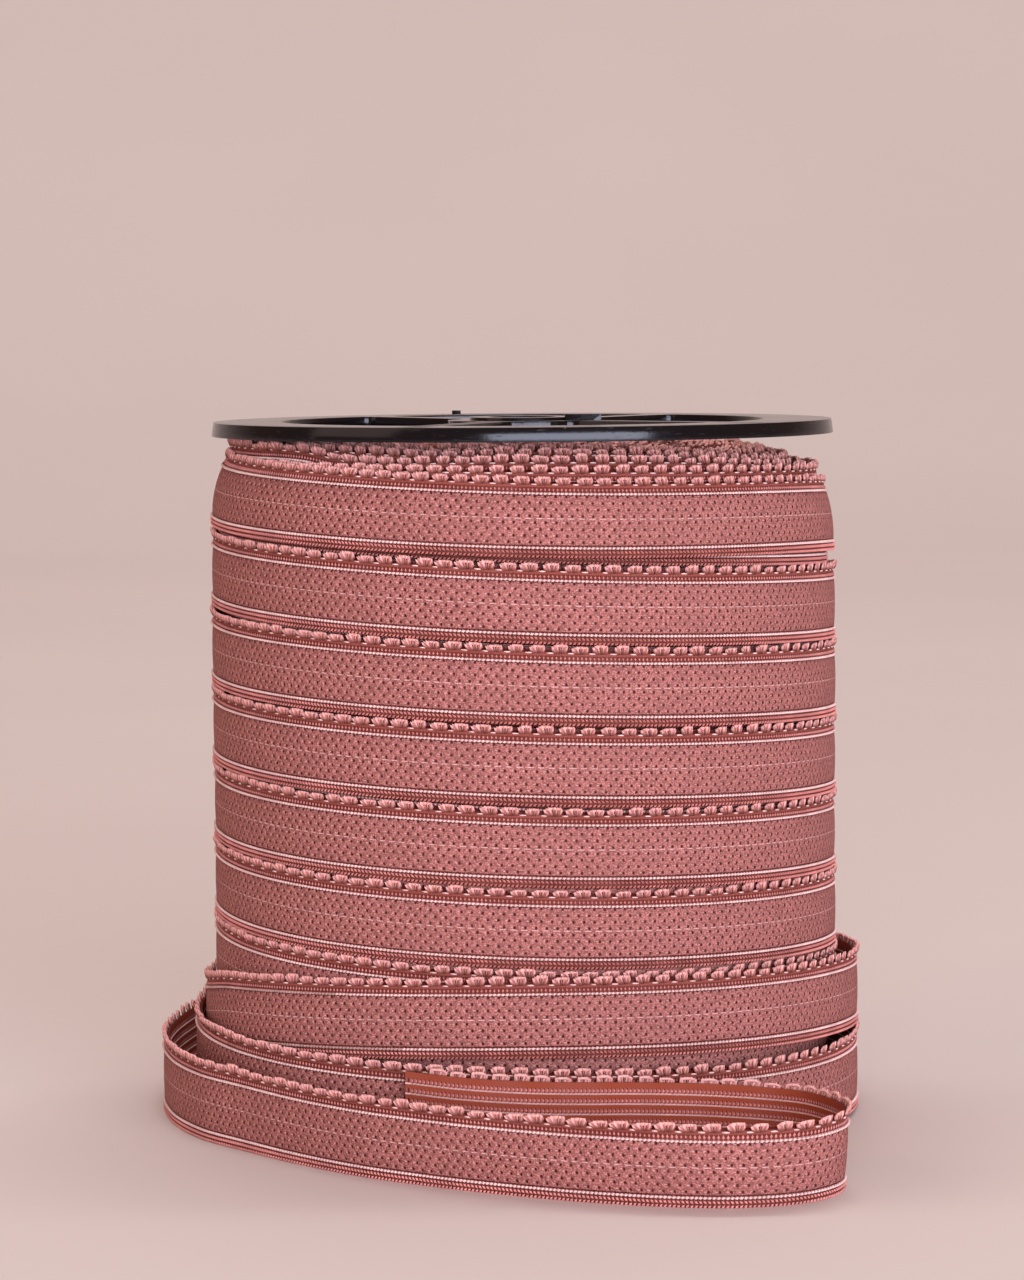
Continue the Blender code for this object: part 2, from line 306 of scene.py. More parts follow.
def smooth_table(rows, at):
    """The table's other columns where the first one has these values, on smooth curves."""
    rows, at = np.array(rows, float), np.atleast_1d(np.asarray(at, float))
    keys, last = rows[:, 0], len(rows) - 1
    i = np.clip(np.searchsorted(keys, at) - 1, 0, last - 1)
    before, after = np.maximum(i - 1, 0), np.minimum(i + 2, last)
    low, high = rows[i, 1:], rows[i + 1, 1:]
    span = (keys[i + 1] - keys[i])[:, None]
    t = (at - keys[i])[:, None] / span
    start = (high - rows[before, 1:]) / (keys[i + 1] - keys[before])[:, None] * span
    end = (rows[after, 1:] - low) / (keys[after] - keys[i])[:, None] * span
    rise = t * t * (3 - 2 * t)
    return low + (high - low) * rise + start * t * (1 - t) ** 2 - end * t * t * (1 - t)


def smooth_step(low, high, at):
    t = np.clip((at - low) / (high - low), 0.0, 1.0)
    return t * t * (3 - 2 * t)


def round_axis(radius, degrees):
    turn = np.radians(degrees)
    return radius * np.cos(turn), radius * np.sin(turn)


class Route:
    """The way that a stretch of tape lies, against the distance along it."""

    def __init__(self, feet, lean=0.0, width=WOUND_WIDTH, curl=0.0):
        steps = np.linalg.norm(np.diff(feet, axis=0), axis=1)
        self.at = np.concatenate(([0.0], np.cumsum(steps)))
        self.length = float(self.at[-1])
        along = np.gradient(feet, self.at, axis=0)
        along[:, 2] = 0.0
        along /= np.linalg.norm(along, axis=1)[:, None]
        sideways = np.stack((along[:, 1], -along[:, 0], np.zeros(len(feet))), 1)
        lean = np.broadcast_to(lean, len(feet))[:, None]
        width = np.broadcast_to(width, len(feet))[:, None]
        upright = np.array((0.0, 0.0, 1.0))
        up = (sideways * lean + upright * np.sqrt(width**2 - lean**2)) / width
        curl = np.broadcast_to(curl, len(feet))[:, None]
        self.columns = np.hstack((feet, np.cross(along, up), up * width / WOUND_WIDTH, curl))

    def part(self, start, end):
        """The stretch between two distances, measured from its own start."""
        inside = (self.at > start) & (self.at < end)
        at = np.concatenate(([start], self.at[inside], [end]))
        piece = Route.__new__(Route)
        piece.columns = self.read(at)
        piece.at, piece.length = at - start, float(end - start)
        return piece

    def read(self, at):
        return np.stack([np.interp(at, self.at, column) for column in self.columns.T], 1)

    def place(self, points):
        """Bends points given as along, into the roll and up, as on a flat tape."""
        found = self.read(points[:, 0])
        feet, outward, up, curl = found[:, :3], found[:, 3:6], found[:, 6:9], found[:, 9:]
        share = points[:, 2:3] / WOUND_WIDTH
        return feet - outward * (points[:, 1:2] + curl * share**2) + up * points[:, 2:3]


def dense(start, end, radius):
    """Angles from start to end, close enough together for a route of this radius."""
    count = int(math.radians(abs(end - start)) * radius / ROUTE_STEP) + 2
    return np.linspace(start, end, count)


def tape_route():
    """The outer turns, the slack turns and the loose end as one, and where the slack starts."""
    last_turn = (SLACK_TURNS[-1][0] - START_ANGLE) / 360 + round(TURNS_WOUND)
    turns = dense(OUTER_TURNS[0][0] * 360, last_turn * 360, TURNS_RADIUS) / 360
    angle = START_ANGLE + turns * 360
    wound = smooth_table(OUTER_TURNS, np.minimum(turns, OUTER_TURNS[-1][0]))
    slack_angle = np.clip(angle - 360 * round(TURNS_WOUND), SLACK_TURNS[0][0], SLACK_TURNS[-1][0])
    slack = smooth_table(SLACK_TURNS, slack_angle)
    slack[:, 1] += EDGE_DROP
    left_roll = smooth_step(JOIN[0], JOIN[1], turns)
    radius = wound[:, 1] * (1 - left_roll) + slack[:, 0] * left_roll
    height = (wound[:, 0] - WOUND_WIDTH) * (1 - left_roll) + slack[:, 1] * left_roll
    still = 1 - left_roll
    height = height + still * UNEVEN_HEIGHT * np.sin(turns * 9.1) * np.sin(turns * 2.3 + 1)
    radius = radius + still * UNEVEN_RADIUS * np.sin(turns * 14.3)
    x, y = round_axis(radius, angle)
    ring = np.stack((x, y, height, np.zeros(len(x))), 1)

    end = np.array(LOOSE_END)
    steps = np.linalg.norm(np.diff(end[:, :2], axis=0), axis=1)
    first = np.linalg.norm(end[0, :2] - ring[-1, :2])
    at = np.concatenate(([0.0], np.cumsum(np.concatenate(([first], steps)))))
    lead = 5  # points of the slack turns that the loose end's curve follows on from
    before = np.concatenate(([-lead * ROUTE_STEP], ring[-1 - lead]))
    table = np.vstack((before, np.column_stack((at, np.vstack((ring[-1], end))))))
    tail = smooth_table(table, np.arange(ROUTE_STEP, at[-1], ROUTE_STEP))
    tail[:, 2] += EDGE_DROP
    points = np.vstack((ring, tail))
    steps = np.linalg.norm(np.diff(points[:, :3], axis=0), axis=1)
    distance = np.concatenate(([0.0], np.cumsum(steps)))
    slack_start = float(np.interp(TURNS_WOUND, turns, distance[: len(turns)]))
    share = np.clip((distance - slack_start) / ((distance[-1] - slack_start) / 2), 0, 1)
    width = WOUND_WIDTH + (SLACK_WIDTH - WOUND_WIDTH) * share
    curl = np.concatenate((wound[:, 2], np.zeros(len(tail))))
    return Route(points[:, :3], points[:, 3], width, curl), slack_start


def under_route(radius, top):
    """A layer under the outer turns, down to the lower flange, from this height at the front."""
    turns = dense(0, UNDER_TURNS * 360, radius) / 360
    top = top - (turns - 0.5) * ROW_DROP - UNDER_SINK * smooth_step(2, 6, turns)
    clear = top > FLANGE_THICKNESS + EDGE_DROP + WOUND_WIDTH
    turns, top = turns[clear], top[clear]
    x, y = round_axis(radius, START_ANGLE + turns * 360)
    curl = UNDER_CURL * (1 - smooth_step(0.8, 1.6, turns))
    return Route(np.stack((x, y, top - WOUND_WIDTH), 1), curl=curl)


def shoulder_route(foot_radius, table):
    angles = dense(0, 358, foot_radius)
    top_radius, top = smooth_table(table, angles).T
    lean = foot_radius - top_radius
    x, y = round_axis(foot_radius, angles)
    return Route(np.stack((x, y, top - np.sqrt(WOUND_WIDTH**2 - lean**2)), 1), -lean)


def core_route():
    low, high, count = CORE_TURNS
    angles = dense(0, 360 * count, high)
    radius = low + (high - low) * angles / angles[-1]
    wave = 0.00020 * np.sin(np.radians(angles * 1.37)) + 0.00012 * np.sin(np.radians(angles * 3.1))
    dip = CORE_DIP * smooth_step(low, high, radius) ** 2
    x, y = round_axis(radius, angles)
    return Route(np.stack((x, y, CORE_TOP - WOUND_WIDTH + wave - dip), 1))


# ---------------------------------------------------------------------------------------------
# Shaders
# ---------------------------------------------------------------------------------------------


class Value:
    """A socket that adds Math nodes when it is used in an expression."""

    def __init__(self, shader, socket):
        self.shader, self.socket = shader, socket

    def math(self, operation, *others):
        return self.shader.math(operation, self, *others)

    def __add__(self, other):
        return self.math("ADD", other)

    def __mul__(self, other):
        return self.math("MULTIPLY", other)

    def __sub__(self, other):
        return self.math("SUBTRACT", other)

    def __rsub__(self, other):
        return self.shader.math("SUBTRACT", other, self)

    def __truediv__(self, other):
        return self.math("DIVIDE", other)

    def __gt__(self, other):
        return self.math("GREATER_THAN", other)

    __radd__ = __add__
    __rmul__ = __mul__

    def fraction(self):
        return self.math("FRACT")

    def whole(self):
        return self.math("FLOOR")

    def root(self):
        return self.math("SQRT")

    def rises(self, low, high):
        """0 below low, 1 above high, smooth between."""
        return self.shader.node(
            "ShaderNodeMapRange", {"interpolation_type": "SMOOTHSTEP"},
            {"Value": self, "From Min": low, "From Max": high},
        )

    def within(self, low, high, soft):
        return self.rises(low - soft, low + soft) * (1 - self.rises(high - soft, high + soft))


class Shader:
    """One material's nodes. Settings that are the same all over go on the shader's own sockets."""

    def __init__(self, name, **settings):
        self.material = bpy.data.materials.new(name)
        self.material.use_nodes = True
        self.tree = self.material.node_tree
        self.surface = self.tree.nodes["Principled BSDF"]
        for key, value in settings.items():
            socket = key.replace("_", " ").title().replace("Ior", "IOR")
            self.surface.inputs[socket].default_value = value

    def node(self, kind, settings, inputs, output=0):
        made = self.tree.nodes.new(kind)
        for key, value in settings.items():
            setattr(made, key, value)
        for key, value in inputs.items():
            self.feed(made.inputs[key], value)
        return Value(self, made.outputs[output])

    def feed(self, socket, value):
        if isinstance(value, Value):
            self.tree.links.new(value.socket, socket)
        else:
            socket.default_value = value

    def math(self, operation, *values):
        return self.node("ShaderNodeMath", {"operation": operation}, dict(enumerate(values)))

    def mix(self, factor, low, high):
        sockets = {0: factor, 6: colour(low), 7: colour(high)}
        return self.node("ShaderNodeMix", {"data_type": "RGBA"}, sockets, 2)

    def attribute(self, name):
        return self.node("ShaderNodeAttribute", {"attribute_name": name}, {}, "Fac")

    def place(self):
        return self.node("ShaderNodeTexCoord", {}, {}, "Object")

    def across_tape(self):
        """The tape's own coordinates: picots along it, and shares of its width."""
        spread = self.node("ShaderNodeUVMap", {"uv_map": "tape"}, {})
        return self.node("ShaderNodeSeparateXYZ", {}, {0: spread}, 0), self.node(
            "ShaderNodeSeparateXYZ", {}, {0: spread}, 1
        )

    def join(self, x, y, z=0.0):
        return self.node("ShaderNodeCombineXYZ", {}, {0: x, 1: y, 2: z})

    def noise(self, where, scale, detail=2.0):
        inputs = {"Vector": where, "Scale": scale, "Detail": detail}
        return self.node("ShaderNodeTexNoise", {}, inputs)

    def grains(self, where, scale):
        return self.node("ShaderNodeTexVoronoi", {}, {"Vector": where, "Scale": scale}, "Distance")

    def finish(self, base, height=None, depth=0.0, roughness=None):
        self.feed(self.surface.inputs["Base Color"], base)
        if height is not None:
            bump = self.node("ShaderNodeBump", {}, {"Height": height, "Distance": depth})
            self.feed(self.surface.inputs["Normal"], bump)
        if roughness is not None:
            self.feed(self.surface.inputs["Roughness"], roughness)
        return self.material


def colour(value):
    return value if isinstance(value, Value) else (*value[:3], 1.0)


def shade(value, share):
    """A colour made darker, or lighter where the share is over 1."""
    return tuple(min(1.0, part * share) for part in value[:3])


def blend(low, high, share):
    """The colour this share of the way from one to the other."""
    return tuple(a + (b - a) * share for a, b in zip(low[:3], high[:3]))


def woven_tape(tape, name, painted_shade_share=1.0):
    """The tape itself: a pebbled field, the beds of its cords, and bands on its back. It carries
    painted shade in its pits, grooves and the spaces between threads, and painted highlights on its
    pebbles and beside its pits. A share under 1 darkens all of it as painted shade.
    """
    shader = Shader(name, roughness=0.7, specular_ior_level=0.06)
    u, v = shader.across_tape()
    # A share under 1 darkens every colour here as painted shade.
    rose, rust, pale, gap = (shade(c, painted_shade_share) for c in (tape.rose, tape.rust, tape.pale, tape.gap))
    along = u * (tape.picot_pitch * 1000)
    flat = shader.join(along, v * (WOUND_WIDTH * 1000))
    pebbles = shader.grains(flat, 3.2)
    fuzz = shader.noise(flat, 6.0, 3.0)
    drift = shader.noise(flat, 0.12, 2.0)

    rows = (v - 0.140) / 0.0815
    stagger = (rows.whole() * 0.5).fraction()
    t = (u * 2.0 + stagger).fraction() - 0.5
    w = rows.fraction() - 0.5
    reach = ((t * 1.6) * (t * 1.6) + (w * 0.80) * (w * 0.80)).root()
    pit = 1.0 - reach.rises(0.07, 0.27)
    # The bright spot beside each pit is a painted highlight.
    pit_glint = (t + 0.26).within(-0.11, 0.09, 0.03) * w.within(-0.02, 0.12, 0.04)
    dash = v.within(0.470, 0.480, 0.003) * (u * 2.0).fraction().within(0.1, 0.7, 0.04)
    crown = (reach * 1.1).rises(0.1, 0.9)
    weave_rows = v.within(0.146, 0.757, 0.006)
    hill = crown * 0.55 + (1.0 - pebbles) * 0.45 + fuzz * 0.25 - pit * 0.9

    # The weave's own pebbled tone, with painted highlight on the raised pebbles and fuzz and
    # painted shade between them.
    field = shader.mix(pebbles.rises(0.05, 0.75), shade(rose, 1.42), shade(rose, 0.60))
    field = shader.mix(fuzz.rises(0.50, 0.75) * 0.6, field, shade(rose, 1.60))
    # Painted shade in the pits, then the painted highlight beside each.
    field = shader.mix(pit, field, gap)
    field = shader.mix(pit_glint * 0.60, field, pale)
    field = shader.mix(dash * 0.85, field, pale)

    stitch = (u * STITCHES).fraction()
    # The gap colour in these bands is painted shade: under the herringbone edge, in the grooves
    # beside the cords, between the ladder's bars and behind the picots.
    edge = shader.mix(v.rises(0.0, 0.02), gap, shade(rust, 0.35))
    base = shader.mix(fuzz.rises(0.3, 0.7), shade(rust, 0.62), shade(rust, 1.00))
    bed = shader.mix(stitch.within(0.3, 0.7, 0.1), shade(rose, 0.8), pale)
    ladder = blend(gap, rust, 0.35)
    face = shader.mix(v.rises(0.090, 0.094), edge, gap)
    face = shader.mix(v.rises(0.098, 0.101), face, bed)
    face = shader.mix(v.rises(0.124, 0.128), face, gap)
    face = shader.mix(v.rises(0.137, 0.144), face, field)
    face = shader.mix(v.rises(0.757, 0.763), face, gap)
    face = shader.mix(v.rises(0.770, 0.774), face, bed)
    face = shader.mix(v.rises(0.794, 0.799), face, ladder)
    face = shader.mix(v.rises(0.859, 0.863), face, base)
    face = shader.mix(v.rises(0.900, 0.908), face, gap)

    # The back repeats a ladder, a bright line and a smooth band.
    band = ((v - 1.14) / 0.120).fraction()
    rung = stitch.within(0.25, 0.75, 0.12)
    # Painted shade between the rungs.
    back = shader.mix(rung, gap, shade(rust, 1.2))
    back = shader.mix(band.rises(0.44, 0.47), back, pale)
    back = shader.mix(band.rises(0.60, 0.64), back, tape.back)
    back = shader.mix(v.within(1.135, 1.95, 0.004), tape.back, back)
    base_colour = shader.mix(v > 1.0, face, back)
    base_colour = shader.mix(drift.rises(0.35, 0.75) * 0.22, base_colour, shade(rose, 0.72))
    height = hill * weave_rows + fuzz * 0.3
    return shader.finish(base_colour, height, tape.weave_depth)


def thread(name, colour_of, roughness=0.6):
    """Short threads, each a little lighter or darker than the next."""
    shader = Shader(name, roughness=roughness, specular_ior_level=0.15)
    tint = shader.attribute("tint")
    fuzz = shader.noise(shader.place(), 4000.0)
    base = shader.mix(tint, shade(colour_of, 0.84), shade(colour_of, 1.12))
    base = shader.mix(fuzz.rises(0.35, 0.65) * 0.5, base, shade(colour_of, 0.75))
    return shader.finish(base, fuzz, 0.00005)


def plush(tape, name):
    """The picots: light strands over the rim, with painted shade low down and on every other
    strand, and painted highlights on the other strands and along the top.
    """
    shader = Shader(name, roughness=0.7, specular_ior_level=0.05)
    rise, middle, tint = (shader.attribute(key) for key in ("rise", "middle", "tint"))
    fuzz = shader.noise(shader.place(), 3000.0, 3.0)
    light = shader.mix(fuzz.rises(0.3, 0.7), shade(tape.picot, 0.72), shade(tape.picot, 1.22))
    # Painted highlight on every other strand, and painted shade on the strands between them.
    light = shader.mix(middle.rises(0.6, 0.9) * 0.6, light, shade(tape.picot, 1.35))
    light = shader.mix(middle.within(0.4, 0.6, 0.05) * 0.75, light, shade(tape.rust, 1.1))
    light = shader.mix(tint * 0.5, light, shade(tape.picot, 0.80))
    # Painted highlight along the top of the picot.
    light = shader.mix(rise.rises(0.62, 0.92) * 0.45, light, shade(tape.picot, 1.45))
    # Painted shade low down, towards the foot.
    base = shader.mix(rise.rises(0.0, 0.70), shade(tape.rust, 0.55), light)
    return shader.finish(base, fuzz, 0.00008)


def black_plastic(spool, name):
    """Moulded plastic with a soft gloss, fine scuffs and a little dust."""
    shader = Shader(name, specular_ior_level=0.36, specular_tint=(0.84, 0.86, 1.0, 1.0))
    place = shader.place()
    cloud = shader.noise(place, 60.0, 3.0)
    grain = shader.noise(place, 1500.0, 2.0)
    split = [shader.node("ShaderNodeSeparateXYZ", {}, {0: place}, axis) for axis in range(3)]
    stretched = shader.join(split[0] * 350.0, split[1] * 350.0, split[2] * 2200.0)
    scuffs = shader.noise(stretched, 1.0, 3.0).rises(0.60, 0.72)
    specks = (1.0 - shader.grains(place, 420.0).rises(0.02, 0.09)) * cloud.rises(0.5, 0.65)
    base = shader.mix(scuffs * 0.35, spool.plastic, shade(spool.plastic, 4.0))
    base = shader.mix(specks * 0.6, base, (0.35, 0.30, 0.29))
    roughness = cloud * 0.08 + scuffs * 0.16 + spool.roughness
    return shader.finish(base, grain + scuffs * 0.6, 0.000007, roughness)


# ---------------------------------------------------------------------------------------------
# Pieces
# ---------------------------------------------------------------------------------------------


def to_piece(name, mesh, materials, sharp=40):
    """An object for a finished mesh, moved to the spool's axis, and riding on the roll."""
    mesh.transform(Matrix.Translation(AXIS))
    mesh.shade_smooth()
    mesh.set_sharp_from_angle(angle=math.radians(sharp))
    if not mesh.materials:
        for material in materials:
            mesh.materials.append(material)
    piece = bpy.data.objects.new(name, mesh)
    bpy.context.scene.collection.objects.link(piece)
    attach(piece, "root")
    return piece


def mesh_of(name, bm):
    mesh = bpy.data.meshes.new(name)
    bm.to_mesh(mesh)
    bm.free()
    return mesh


def ribbon(name, route, outline, step, pitch, materials, first=0.0):
    """A closed strip of tape: a grid wrapped round the outline, then bent along its route."""
    stations = max(2, round(route.length / step))
    corners = len(outline)
    bm = bmesh.new()
    bmesh.ops.create_grid(bm, x_segments=stations, y_segments=corners, size=0.5)
    shares = np.array([share for share, _ in outline])
    outs = np.array([out for _, out in outline])
    peak = int(np.argmax(shares))
    pattern = np.where(np.arange(corners) > peak, 2 - shares, shares)
    pattern = np.append(pattern, 2.0)
    flat = np.array([vert.co for vert in bm.verts])
    along = (flat[:, 0] + 0.5) * route.length
    corner = np.rint((flat[:, 1] + 0.5) * corners).astype(int)
    layer = bm.loops.layers.uv.new("tape")
    bm.verts.index_update()
    for face in bm.faces:
        for loop in face.loops:
            i = loop.vert.index
            loop[layer].uv = ((along[i] + first) / pitch, pattern[corner[i]])
    wrapped = corner % corners
    points = np.stack((along, -outs[wrapped], shares[wrapped] * WOUND_WIDTH), 1)
    for vert, point in zip(bm.verts, route.place(points)):
        vert.co = point
    bmesh.ops.remove_doubles(bm, verts=bm.verts, dist=0.0000005)
    bmesh.ops.holes_fill(bm, edges=[edge for edge in bm.edges if edge.is_boundary])
    bmesh.ops.recalc_face_normals(bm, faces=bm.faces)
    return to_piece(name, mesh_of(name, bm), materials, sharp=75)


def repeated(name, bm, pitch, count, materials):
    """The mesh of a row of copies, made with an Array."""
    cell = bpy.data.objects.new(name + "_cell", mesh_of(name + "_cell", bm))
    for material in materials:  # without slots, the copies would lose their material numbers
        cell.data.materials.append(material)
    bpy.context.scene.collection.objects.link(cell)
    array = cell.modifiers.new("row", "ARRAY")
    array.use_relative_offset = False
    array.use_constant_offset = True
    array.constant_offset_displace = (pitch, 0, 0)
    array.count = count
    bpy.context.view_layer.update()
    graph = bpy.context.evaluated_depsgraph_get()
    mesh = bpy.data.meshes.new_from_object(cell.evaluated_get(graph))
    used = cell.data
    bpy.data.objects.remove(cell)
    bpy.data.meshes.remove(used)
    mesh.name = name
    return mesh


def along_route(name, bm, route, pitch, materials, seed, loose=0.0, skip=0.0):
    """Copies of one cell along a route, each with its own tint, and unevenly set where loose."""
    count = int((route.length - skip) / pitch)
    mesh = repeated(name, bm, pitch, count, materials)
    points = np.empty(len(mesh.vertices) * 3)
    mesh.vertices.foreach_get("co", points)
    points = points.reshape(-1, 3)
    cells = np.clip(np.floor(points[:, 0] / pitch).astype(int), 0, count - 1)
    random = np.random.default_rng(seed)
    if loose:
        turn, lift, reach, slide = random.normal(0.0, loose, (4, count))[:, cells]
        middle = (cells + 0.5) * pitch
        base = points[:, 2].min()
        rise = points[:, 2] - base
        points[:, 0] = middle + (points[:, 0] - middle) * (1 + reach) + slide * 0.0008 + rise * turn
        points[:, 2] = base + rise * (1 + lift)
        points[:, 1] *= 1 + 1.5 * reach
    points[:, 0] += skip
    mesh.vertices.foreach_set("co", route.place(points).astype(np.float32).ravel())
    tint = mesh.attributes.new("tint", "FLOAT", "POINT")
    tint.data.foreach_set("value", random.random(count)[cells].astype(np.float32))
    return to_piece(name, mesh, materials, sharp=85)


def add_bead(bm, middle, half_sizes, turn=0.0, slot=0, sides=4, rings=2):
    """A small pointed bead, turned as seen from the tape's face."""
    matrix = Matrix.Translation(middle) @ Matrix.Rotation(math.radians(turn), 4, "Y")
    matrix = matrix @ Matrix.Diagonal((*half_sizes, 1.0))
    made = bmesh.ops.create_uvsphere(
        bm, u_segments=sides, v_segments=rings, radius=1.0, matrix=matrix
    )
    for face in {face for vert in made["verts"] for face in vert.link_faces}:
        face.material_index = slot
    return made["verts"]


def stitch_cell(pitch):
    """The cords, ladder, herringbone edge and dash that go with one picot."""
    bm = bmesh.new()
    gap = pitch / STITCHES
    for i in range(STITCHES):
        x = (i + 0.5) * gap
        for share, out, half_sizes, turn, slot in (
            (0.8310, 0.00026, (0.00020, 0.00020, 0.00036), 0, 2),
            (0.7840, 0.00050, (0.00045, 0.00028, 0.00026), -14, 0),
            (0.1130, 0.00050, (0.00044, 0.00030, 0.00027), -16, 0),
            (0.0620, 0.00050, (0.00042, 0.00024, 0.00022), 40, 1),
            (0.0080, 0.00046, (0.00042, 0.00024, 0.00022), -40, 1),
        ):
            add_bead(bm, (x, -out, share * WOUND_WIDTH), half_sizes, turn, slot)
    add_bead(bm, (0.0, -0.00042, 0.896 * WOUND_WIDTH), (0.00066, 0.00017, 0.00013), 0, 3, 6, 3)
    return bm


def back_cell(pitch):
    """The ladders and bright lines on the back of the tape."""
    bm = bmesh.new()
    gap = pitch / STITCHES
    for band in range(6):
        top = 0.860 - band * 0.120
        for i in range(STITCHES):
            x = (i + 0.5) * gap
            rung, line = (top - 0.027) * WOUND_WIDTH, (top - 0.064) * WOUND_WIDTH
            add_bead(bm, (x, 0.00046, rung), (0.00018, 0.00013, 0.00030), 0, 2)
            add_bead(bm, (x, 0.00047, line), (0.00040, 0.00015, 0.00012), 16, 0)
    return bm


# The picot's rim, from its left foot over to its right one: along, out, up and its thickness.
PICOT_RIM = (
    (-0.00066, 0.00006, -0.00005, 0.00014),
    (-0.00124, 0.00038, 0.00036, 0.00021),
    (-0.00140, 0.00054, 0.00080, 0.00023),
    (-0.00082, 0.00052, 0.00108, 0.00024),
    (0.00002, 0.00042, 0.00112, 0.00023),
    (0.00078, 0.00026, 0.00106, 0.00020),
    (0.00086, 0.00006, 0.00056, 0.00015),
    (0.00044, -0.00004, -0.00005, 0.00012),
)
PICOT_FOOT = 0.888 * WOUND_WIDTH
PICOT_HEIGHT = 0.0014


def picot_cell(pitch, sides=5, rim=PICOT_RIM, strands=9):
    """One picot: a thick rim with a fan of strands that run up over it."""
    bm = bmesh.new()
    rise, middle = (bm.verts.layers.float.new(key) for key in ("rise", "middle"))
    places = [Vector((x + pitch / 2, -out, up + PICOT_FOOT)) for x, out, up, _ in rim]
    rings = []
    for i, (place, row) in enumerate(zip(places, rim)):
        ahead = places[min(i + 1, len(rim) - 1)] - places[max(i - 1, 0)]
        turned = ahead.to_track_quat("Z", "Y").to_matrix().to_4x4()
        made = bmesh.ops.create_circle(
            bm, cap_ends=False, segments=sides, radius=row[3],
            matrix=Matrix.Translation(place) @ turned,
        )
        rings.append({edge for vert in made["verts"] for edge in vert.link_edges})
    for ring, following in zip(rings, rings[1:]):
        bmesh.ops.bridge_loops(bm, edges=list(ring | following))
    for ring in (rings[0], rings[-1]):
        bmesh.ops.edgeloop_fill(bm, edges=list(ring))
    for i in range(strands):
        share = i / (strands - 1)
        at = 1.3 + share * (len(rim) - 3.2)
        high = places[int(at)].lerp(places[int(at) + 1], at - int(at))
        high += Vector((-0.00006, -0.00022, 0.00012))
        low = Vector((pitch / 2 + (share - 0.6) * 0.00120, -0.00024, PICOT_FOOT - 0.00012))
        turned = (high - low).to_track_quat("Z", "Y").to_matrix().to_4x4()
        matrix = Matrix.Translation(low.lerp(high, 0.54)) @ turned
        matrix @= Matrix.Diagonal((0.00016, 0.00024, (high - low).length * 0.62, 1.0))
        made = bmesh.ops.create_uvsphere(bm, u_segments=4, v_segments=3, radius=1.0, matrix=matrix)
        for vert in made["verts"]:
            vert[middle] = (i % 2) * 0.5 + 0.5
    for vert in bm.verts:
        vert[rise] = (vert.co.z - PICOT_FOOT) / PICOT_HEIGHT
    bmesh.ops.recalc_face_normals(bm, faces=bm.faces)
    return bm


def window_outline(start, end):
    """The outline of the window between two spokes, and its four corners."""

    def arc(radius, step):
        inset = math.degrees(math.asin(SPOKE_WIDTH / 2 / radius))
        angles = np.linspace(start + inset, end - inset, max(3, round((end - start) / step)))
        return [Vector((*round_axis(radius, angle), 0.0)) for angle in angles]

    outer, inner = arc(RIM_INNER_RADIUS, 2.5), arc(HUB_RADIUS, 8)
    return outer + inner[::-1], (outer[0], outer[-1], inner[0], inner[-1])


def window_cutter():
    bm = bmesh.new()
    for start, end in zip(SPOKE_ANGLES, SPOKE_ANGLES[1:] + (SPOKE_ANGLES[0] + 360,)):
        outline, corners = window_outline(start, end)
        verts = [bm.verts.new(point) for point in outline]
        bm.faces.new(verts)
        bmesh.ops.bevel(
            bm, geom=[vert for vert in verts if vert.co in corners], offset=WINDOW_FILLET,
            offset_type="OFFSET", segments=6, profile=0.5, affect="VERTICES", material=-1,
        )
    bmesh.ops.translate(bm, verts=bm.verts, vec=(0, 0, FLANGE_UNDERSIDE - FLANGE_THICKNESS))
    made = bmesh.ops.extrude_face_region(bm, geom=bm.faces[:])["geom"]
    top = [item for item in made if isinstance(item, bmesh.types.BMVert)]
    bmesh.ops.translate(bm, verts=top, vec=(0, 0, 3 * FLANGE_THICKNESS))
    bmesh.ops.recalc_face_normals(bm, faces=bm.faces)
    return bm


def block(sizes):
    """A small raised stop on the upper flange."""
    bm = bmesh.new()
    depth = FLANGE_THICKNESS / 2
    size = (sizes["size_x"], sizes["size_y"], sizes["height"] + depth)
    place = (sizes["x"], sizes["y"], SPOOL_HEIGHT + sizes["height"] - size[2] / 2)
    matrix = Matrix.Translation(place) @ Matrix.Diagonal((*size, 1.0))
    bmesh.ops.create_cube(bm, size=1.0, matrix=matrix)
    return bm


